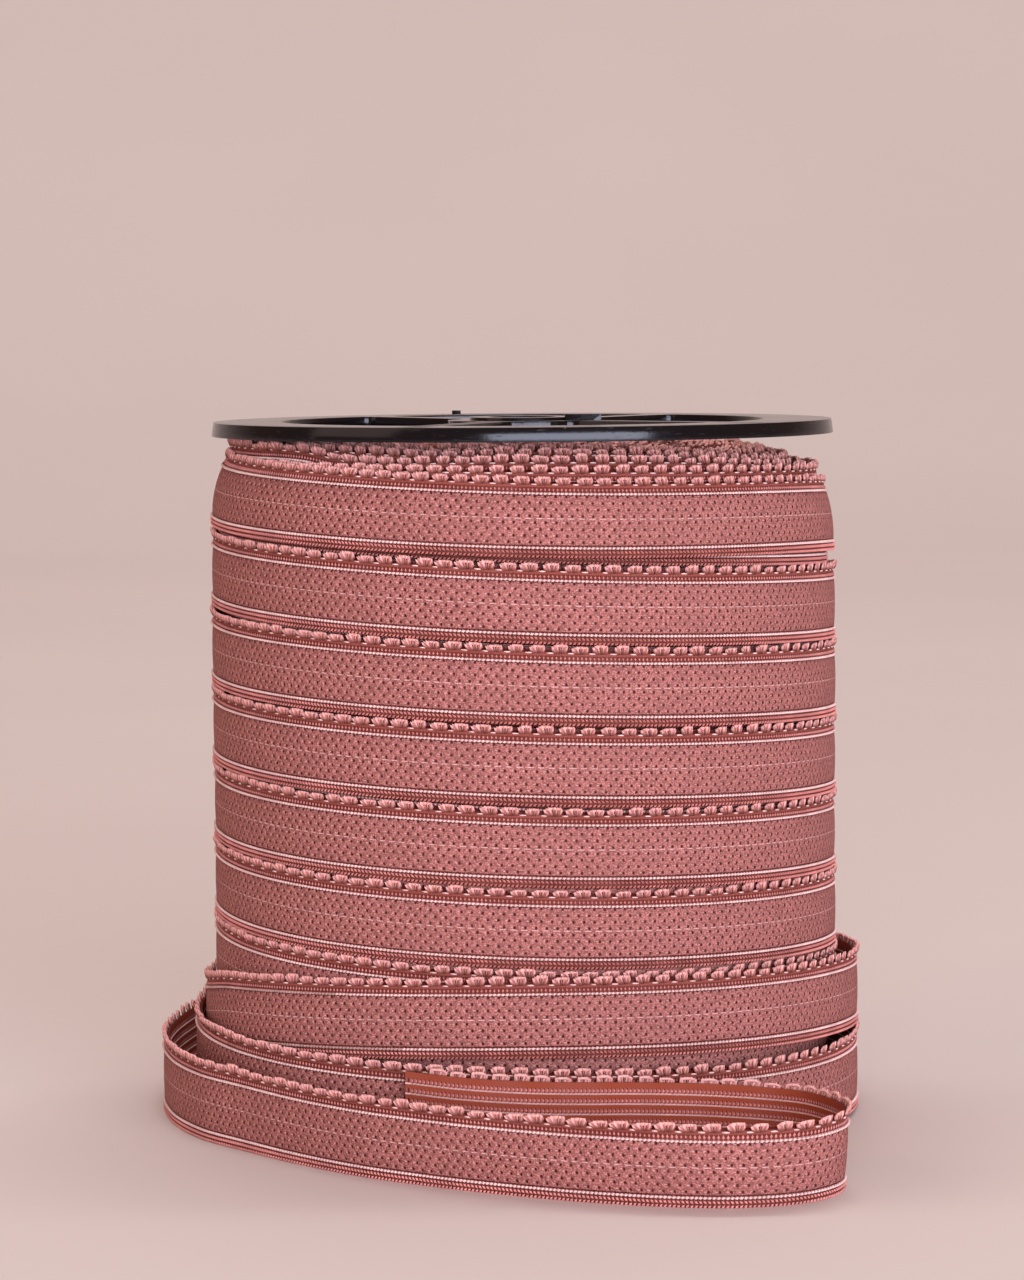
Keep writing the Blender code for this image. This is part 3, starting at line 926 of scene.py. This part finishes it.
def flange_mesh():
    """The upper flange: a turned plate with its windows cut and its stops joined on."""
    low, high = FLANGE_UNDERSIDE, SPOOL_HEIGHT
    rim = FLANGE_RADIUS - RIM_DRAFT
    profile = (
        (BORE_RADIUS, low), (FLANGE_RADIUS, low), (rim, high), (COLLAR_RADIUS, high),
        (COLLAR_RADIUS, high + COLLAR_HEIGHT), (BORE_RADIUS, high + COLLAR_HEIGHT),
    )
    bm = bmesh.new()
    verts = [bm.verts.new((radius, 0.0, height)) for radius, height in profile]
    edges = [bm.edges.new(pair) for pair in zip(verts, verts[1:] + verts[:1])]
    bmesh.ops.spin(
        bm, geom=verts + edges, axis=(0, 0, 1), cent=(0, 0, 0), angle=math.tau,
        steps=ROUND_STEPS, use_merge=True,
    )
    bmesh.ops.recalc_face_normals(bm, faces=bm.faces)
    plate = bpy.data.objects.new("plate", mesh_of("plate", bm))
    bpy.context.scene.collection.objects.link(plate)
    tools = (("DIFFERENCE", window_cutter()), ("UNION", block(KEY)), ("UNION", block(LUG)))
    helpers = []
    for operation, tool in tools:
        helper = bpy.data.objects.new("tool", mesh_of("tool", tool))
        bpy.context.scene.collection.objects.link(helper)
        helpers.append(helper)
        modifier = plate.modifiers.new(operation, "BOOLEAN")
        modifier.operation, modifier.solver, modifier.object = operation, "EXACT", helper
    soften = plate.modifiers.new("soften", "BEVEL")
    soften.width, soften.segments, soften.limit_method = RIM_CHAMFER, 2, "ANGLE"
    soften.angle_limit = math.radians(40)
    bpy.context.view_layer.update()
    graph = bpy.context.evaluated_depsgraph_get()
    mesh = bpy.data.meshes.new_from_object(plate.evaluated_get(graph))
    for helper in (*helpers, plate):
        bpy.data.objects.remove(helper)
    mesh.name = "spool_top"
    return mesh


# ---------------------------------------------------------------------------------------------
# Settings and operators
# ---------------------------------------------------------------------------------------------


def colour_setting(name, description, default):
    return bpy.props.FloatVectorProperty(
        name=name, description=description, default=default, subtype="COLOR", min=0, max=1
    )


def length_setting(name, description, default):
    return bpy.props.FloatProperty(
        name=name, description=description, default=default, unit="LENGTH", precision=5, min=0
    )


def power_setting(name, description, default):
    return bpy.props.FloatProperty(
        name=name, description=description, default=default, unit="POWER", min=0
    )


class SpoolSettings(bpy.types.PropertyGroup):
    plastic: colour_setting("Plastic", "Colour of the moulded spool", (0.006, 0.005, 0.006))
    roughness: bpy.props.FloatProperty(
        name="Roughness", description="Least roughness of the plastic", default=0.11, min=0, max=1
    )


class TapeSettings(bpy.types.PropertyGroup):
    picot_pitch: length_setting("Picot spacing", "Distance from picot to picot", 0.0032)
    weave_depth: length_setting("Weave depth", "How deep the pits of the weave look", 0.00025)
    rose: colour_setting("Rose", "Colour of the woven field", (0.468, 0.177, 0.164))
    rust: colour_setting("Rust", "Colour of the threads under the picots", (0.34, 0.090, 0.072))
    pale: colour_setting("Pale", "Colour of the cords and dashes", (0.86, 0.56, 0.55))
    # The gap colour is painted shade: the dark red put in the pits, grooves, ladder holes and
    # spaces between threads and picots, where shade falls.
    gap: colour_setting("Gap", "Colour between the threads", (0.085, 0.008, 0.005))
    picot: colour_setting("Picot", "Colour of the plush picots", (0.82, 0.40, 0.38))
    back: colour_setting("Back", "Colour of the smooth bands on the back", (0.31, 0.060, 0.030))


class StageSettings(bpy.types.PropertyGroup):
    paper: colour_setting("Paper", "Colour of the floor and backdrop", (0.735, 0.655, 0.645))
    window_power: power_setting("Window light", "Power of the large light at the front", 27.5)
    fill_power: power_setting("Fill light", "Power of the light at the left", 2.4)
    top_power: power_setting("Top light", "Power of the light overhead", 5.0)
    backdrop_power: power_setting("Backdrop light", "Power of the light on the backdrop", 70.0)
    ambient: bpy.props.FloatProperty(
        name="Ambient", description="Strength of the light from all round", default=0.22, min=0
    )


class ELASTIC_OT_spool(bpy.types.Operator):
    """Build the upper flange, and give the lower flange and the core their plastic"""

    bl_idname = "elastic.spool"
    bl_label = "Spool"

    def execute(self, context):
        plastic = black_plastic(context.scene.elastic_spool, "black_plastic")
        flange = to_piece("spool_top", flange_mesh(), [plastic], sharp=35)
        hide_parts("flange_upper")
        for name in ("flange_lower", "core_tube"):
            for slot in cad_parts[name].material_slots:
                slot.material = plastic
        return {"FINISHED"}


def tape_materials(tape):
    return [
        thread("pale_cord", shade(tape.pale, 1.12), 0.5),
        thread("edge_thread", shade(tape.rose, 1.75)),
        thread("ladder_thread", shade(tape.rose, 1.40)),
        thread("white_dash", shade(tape.pale, 1.15), 0.5),
    ]


class ELASTIC_OT_tape(bpy.types.Operator):
    """Build the outer turns, the slack turns and the loose end, with their stitches and picots"""

    bl_idname = "elastic.tape"
    bl_label = "Outer tape"

    def execute(self, context):
        tape = context.scene.elastic_tape
        pitch = tape.picot_pitch
        route, slack_start = tape_route()
        slack_start = round(slack_start / pitch) * pitch
        woven = woven_tape(tape, "woven_tape")
        threads, tufts = tape_materials(tape), plush(tape, "picot_plush")
        outline = TAPE_FACE + TAPE_BACK
        parts = (
            ("wound", "wound_elastic", route.part(0.0, slack_start), 0.0),
            ("slack", "loose_elastic", route.part(slack_start, route.length), slack_start),
        )
        for seed, (name, node, part, first) in enumerate(parts, 10):
            strip = ribbon(name + "_tape", part, outline, pitch / 2, pitch, [woven], first)
            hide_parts(node)
            with_pieces = [
                along_route(name + "_stitches", stitch_cell(pitch), part, pitch, threads, seed),
                along_route(
                    name + "_picots", picot_cell(pitch), part, pitch, [tufts], seed + 10, loose=0.07
                ),
            ]
            if name == "slack":
                bare = part.length - BACK_STITCHED
                back = along_route(
                    "back_stitches", back_cell(pitch), part, pitch, threads, seed, skip=bare
                )
                with_pieces.append(back)
            WOUND_WIDTH if name == "wound" else SLACK_WIDTH
            "stretched" if name == "wound" else "laid"
            ["core_tube"] if name == "wound" else ["wound_tape", "floor"]
        return {"FINISHED"}


class ELASTIC_OT_inner_turns(bpy.types.Operator):
    """Build the turns that show behind the outer ones, at the shoulder and through the windows"""

    bl_idname = "elastic.inner_turns"
    bl_label = "Inner turns"

    def execute(self, context):
        tape = context.scene.elastic_tape
        pitch = tape.picot_pitch
        # A copy of the tape's material made darker by 0.9 as painted shade for the inner turns.
        woven = woven_tape(tape, "woven_tape_inside", 0.9)
        threads, tufts = tape_materials(tape), plush(tape, "picot_plush_inside")
        outline = TAPE_FACE + TAPE_BACK
        under = under_route(*UNDER_LAYER)
        strip = ribbon("under_tape", under, outline, pitch, pitch, [woven])
        seen = under.part(0.0, UNDER_STITCHED)
        stitches = along_route("under_stitches", stitch_cell(pitch), seen, pitch, threads, 31)
        deep = under_route(*DEEP_LAYER)
        strip = ribbon("deep_tape", deep, PLAIN_OUTLINE, pitch, pitch, [woven])
        for number, row in enumerate(SHOULDER, 1):
            route = shoulder_route(*row)
            name = f"shoulder_{number}"
            strip = ribbon(name + "_tape", route, outline, pitch, pitch, [woven])
            picots, stitches = picot_cell(pitch), stitch_cell(pitch)
            with_pieces = [
                along_route(name + "_picots", picots, route, pitch, [tufts], 40 + number, 0.12),
                along_route(name + "_stitches", stitches, route, pitch, threads, 50 + number),
            ]
        route = core_route()
        strip = ribbon("core_turns", route, PLAIN_OUTLINE, pitch, pitch, [woven])
        small_rim = PICOT_RIM[::2] + PICOT_RIM[-1:]
        picots = along_route(
            "core_picots", picot_cell(pitch, 4, small_rim, 0), route, pitch, [tufts], 61, 0.10
        )
        return {"FINISHED"}


def aimed(obj, place, target):
    obj.location = place
    obj.rotation_euler = (Vector(target) - Vector(place)).to_track_quat("-Z", "Y").to_euler()
    bpy.context.scene.collection.objects.link(obj)
    return obj


def add_light(name, place, target, size, power, tint):
    light = bpy.data.lights.new(name, "AREA")
    light.shape = "RECTANGLE"
    light.size, light.size_y = size
    light.energy, light.color = power, tint
    return aimed(bpy.data.objects.new(name, light), place, target)


def sweep_mesh():
    """A floor that curves up into a backdrop."""
    start, depth, bend, top, half_width = -3.0, 1.5, 1.4, 4.5, 5.0
    arc = [math.radians(angle) for angle in range(0, 91, 5)]
    profile = [(start, 0.0)] + [
        (depth + bend * math.sin(angle), bend * (1 - math.cos(angle))) for angle in arc
    ] + [(depth + bend, top)]
    bm = bmesh.new()
    verts = [bm.verts.new((-half_width, y, z)) for y, z in profile]
    edges = [bm.edges.new(pair) for pair in zip(verts, verts[1:])]
    made = bmesh.ops.extrude_edge_only(bm, edges=edges)["geom"]
    moved = [item for item in made if isinstance(item, bmesh.types.BMVert)]
    bmesh.ops.translate(bm, verts=moved, vec=(2 * half_width, 0, 0))
    mesh = mesh_of("floor", bm)
    mesh.shade_smooth()
    return mesh


def plain_surface(name, tint, roughness):
    shader = Shader(name, roughness=roughness)
    cloud = shader.noise(shader.place(), 3.0, 3.0)
    return shader.finish(shader.mix(cloud.rises(0.3, 0.7), shade(tint, 0.985), shade(tint, 1.015)))


# The lights: place, what each is aimed at, width and height, and tint.
ROLL_MIDDLE = AXIS + Vector((0, 0, 0.055))
LIGHTS = (
    ("window", (0.42, -1.38, 0.29), ROLL_MIDDLE, (1.6, 0.54), (0.90, 0.92, 1.00)),
    ("fill", (-1.1, -0.5, 0.6), ROLL_MIDDLE, (0.8, 0.8), (1.00, 0.74, 0.58)),
    ("top", (0.1, 0.3, 1.5), ROLL_MIDDLE, (1.2, 1.2), (1.00, 0.97, 0.93)),
    ("backdrop", (0.0, 1.0, 3.6), (0.0, 2.8, 1.2), (4.0, 0.6), (1.00, 0.97, 0.95)),
)
AMBIENT_TINT = (0.95, 0.50, 0.33, 1.0)

# The camera, from the spool's axis: place, tilt down from level and roll, both in radians.
CAMERA_PLACE = (-0.0019, -0.6579, 0.1274)
CAMERA_TILT = 0.0777
CAMERA_ROLL = -0.0073
CAMERA_LENS = 114.6  # in millimetres, on a sensor 36 mm wide


class ELASTIC_OT_stage(bpy.types.Operator):
    """Add the floor, the backdrop, the lights and the camera"""

    bl_idname = "elastic.stage"
    bl_label = "Stage"

    def execute(self, context):
        settings = context.scene.elastic_stage
        sweep = bpy.data.objects.new("floor", sweep_mesh())
        sweep.data.materials.append(plain_surface("pale_paper", settings.paper, 0.8))
        context.scene.collection.objects.link(sweep)

        for name, place, target, size, tint in LIGHTS:
            power = getattr(settings, name + "_power")
            add_light(name + "_light", place, target, size, power, tint)
        world = bpy.data.worlds.new("studio")
        world.use_nodes = True
        light = world.node_tree.nodes["Background"]
        light.inputs["Color"].default_value = AMBIENT_TINT
        light.inputs["Strength"].default_value = settings.ambient
        context.scene.world = world
        context.scene.view_settings.view_transform = "Standard"

        lens = bpy.data.cameras.new("camera")
        lens.lens, lens.sensor_width = CAMERA_LENS, 36.0
        lens.clip_start, lens.clip_end = 0.01, 50.0
        camera = bpy.data.objects.new("camera", lens)
        place = Matrix.Translation(AXIS + Vector(CAMERA_PLACE))
        tilt = Matrix.Rotation(math.radians(90) - CAMERA_TILT, 4, "X")
        roll = Matrix.Rotation(CAMERA_ROLL, 4, "Z")
        camera.matrix_world = place @ tilt @ roll
        context.scene.collection.objects.link(camera)
        context.scene.camera = camera
        return {"FINISHED"}


class ELASTIC_PT_panel(bpy.types.Panel):
    """Lists the sizes, colours and steps of the roll of elastic"""

    bl_idname = "ELASTIC_PT_panel"
    bl_label = "Elastic Roll"
    bl_space_type = "VIEW_3D"
    bl_region_type = "UI"
    bl_category = "Elastic Roll"

    def draw(self, context):
        scene = context.scene
        for settings in (scene.elastic_spool, scene.elastic_tape, scene.elastic_stage):
            box = self.layout.box()
            for key in settings.__annotations__:
                box.prop(settings, key)
        for operator in OPERATORS:
            self.layout.operator(operator.bl_idname)


OPERATORS = (ELASTIC_OT_stage, ELASTIC_OT_spool, ELASTIC_OT_tape, ELASTIC_OT_inner_turns)
SETTINGS = {
    "elastic_spool": SpoolSettings,
    "elastic_tape": TapeSettings,
    "elastic_stage": StageSettings,
}
CLASSES = (*SETTINGS.values(), *OPERATORS, ELASTIC_PT_panel)


def register():
    for cls in CLASSES:
        bpy.utils.register_class(cls)
    for name, cls in SETTINGS.items():
        setattr(bpy.types.Scene, name, bpy.props.PointerProperty(type=cls))


def unregister():
    for name in SETTINGS:
        delattr(bpy.types.Scene, name)
    for cls in reversed(CLASSES):
        bpy.utils.unregister_class(cls)


def main():
    register()
    bpy.ops.elastic.stage()
    bpy.ops.elastic.spool()
    bpy.ops.elastic.tape()
    bpy.ops.elastic.inner_turns()
    bpy.context.view_layer.update()


if __name__ == "__main__":
    main()
